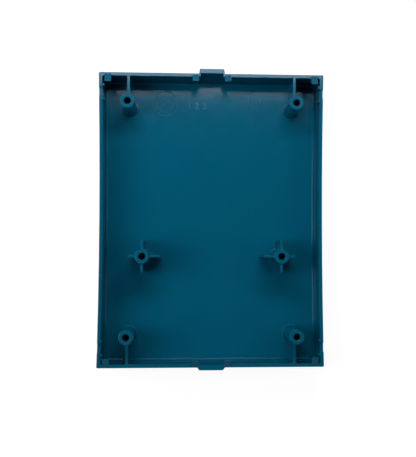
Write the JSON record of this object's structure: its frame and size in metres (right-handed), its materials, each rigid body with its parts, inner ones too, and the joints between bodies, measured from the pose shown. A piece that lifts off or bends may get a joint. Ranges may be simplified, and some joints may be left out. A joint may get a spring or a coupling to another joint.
{
  "type": "electrical junction box",
  "caption": "Opened plastic junction box: shallow tray with screw bosses and ribs, beside its deeper cover with cable glands and a terminal block.",
  "frame": {"origin": "centre of the tray's flat back face", "axes": "+Z out of the tray's open side, +Y along the tray to its wide-tab end, +X to the cover"},
  "size_m": [0.25, 0.1682, 0.032],
  "materials": {
    "abs_shell": "satin moulded",
    "zinc_steel": "zinc plated",
    "gland_nylon": "fine matt",
    "seal_rubber": "matt",
    "terminal_nylon": "satin",
    "brass": "bare, drawn"
  },
  "bodies": {
    "tray": {"back_tray": "abs_shell"},
    "cover": {"front_cover": "abs_shell", "gland_body_1": "gland_nylon", "gland_washer_1": "seal_rubber", "gland_lock_nut_1": "gland_nylon", "gland_seal_1": "seal_rubber", "gland_body_2": "gland_nylon", "gland_washer_2": "seal_rubber", "gland_lock_nut_2": "gland_nylon", "gland_seal_2": "seal_rubber", "terminal_housing": "terminal_nylon", "terminal_inserts": "brass", "terminal_fixing_screws": "zinc_steel"},
    "closing_screw_1": {"closing_screw_1": "zinc_steel"},
    "closing_screw_2": {"closing_screw_2": "zinc_steel"},
    "closing_screw_3": {"closing_screw_3": "zinc_steel"},
    "closing_screw_4": {"closing_screw_4": "zinc_steel"},
    "gland_nut_1": {"gland_nut_1": "gland_nylon"},
    "gland_nut_2": {"gland_nut_2": "gland_nylon"},
    "clamp_screw_1_front": {"clamp_screw_1_front": "zinc_steel"},
    "clamp_screw_1_back": {"clamp_screw_1_back": "zinc_steel"},
    "clamp_screw_2_front": {"clamp_screw_2_front": "zinc_steel"},
    "clamp_screw_2_back": {"clamp_screw_2_back": "zinc_steel"},
    "clamp_screw_3_front": {"clamp_screw_3_front": "zinc_steel"},
    "clamp_screw_3_back": {"clamp_screw_3_back": "zinc_steel"},
    "clamp_screw_4_front": {"clamp_screw_4_front": "zinc_steel"},
    "clamp_screw_4_back": {"clamp_screw_4_back": "zinc_steel"}
  },
  "joints": [
    {"name": "cover_turnover", "type": "hinge", "parent": "tray", "child": "cover", "pos_m": [0.075, 0, 0.0236], "axis": [0, -1, 0], "range_deg": [0, 180]},
    {"name": "closing_screw_1_drive", "type": "slide", "parent": "cover", "child": "closing_screw_1", "axis": [0, 0, 1], "range_m": [0, 0.0085]},
    {"name": "closing_screw_2_drive", "type": "slide", "parent": "cover", "child": "closing_screw_2", "axis": [0, 0, 1], "range_m": [0, 0.0085]},
    {"name": "closing_screw_3_drive", "type": "slide", "parent": "cover", "child": "closing_screw_3", "axis": [0, 0, 1], "range_m": [0, 0.0085]},
    {"name": "closing_screw_4_drive", "type": "slide", "parent": "cover", "child": "closing_screw_4", "axis": [0, 0, 1], "range_m": [0, 0.0085]},
    {"name": "gland_nut_1_turn", "type": "hinge", "parent": "cover", "child": "gland_nut_1", "pos_m": [0.15, 0.0725, 0.015], "axis": [0, 1, 0], "range_deg": [0, 360]},
    {"name": "gland_nut_2_turn", "type": "hinge", "parent": "cover", "child": "gland_nut_2", "pos_m": [0.15, -0.0725, 0.015], "axis": [0, -1, 0], "range_deg": [0, 360]},
    {"name": "clamp_screw_1_front_drive", "type": "slide", "parent": "cover", "child": "clamp_screw_1_front", "axis": [0, 0, -1], "range_m": [0, 0.0025]},
    {"name": "clamp_screw_1_back_drive", "type": "slide", "parent": "cover", "child": "clamp_screw_1_back", "axis": [0, 0, -1], "range_m": [0, 0.0025]},
    {"name": "clamp_screw_2_front_drive", "type": "slide", "parent": "cover", "child": "clamp_screw_2_front", "axis": [0, 0, -1], "range_m": [0, 0.0025]},
    {"name": "clamp_screw_2_back_drive", "type": "slide", "parent": "cover", "child": "clamp_screw_2_back", "axis": [0, 0, -1], "range_m": [0, 0.0025]},
    {"name": "clamp_screw_3_front_drive", "type": "slide", "parent": "cover", "child": "clamp_screw_3_front", "axis": [0, 0, -1], "range_m": [0, 0.0025]},
    {"name": "clamp_screw_3_back_drive", "type": "slide", "parent": "cover", "child": "clamp_screw_3_back", "axis": [0, 0, -1], "range_m": [0, 0.0025]},
    {"name": "clamp_screw_4_front_drive", "type": "slide", "parent": "cover", "child": "clamp_screw_4_front", "axis": [0, 0, -1], "range_m": [0, 0.0025]},
    {"name": "clamp_screw_4_back_drive", "type": "slide", "parent": "cover", "child": "clamp_screw_4_back", "axis": [0, 0, -1], "range_m": [0, 0.0025]}
  ]
}
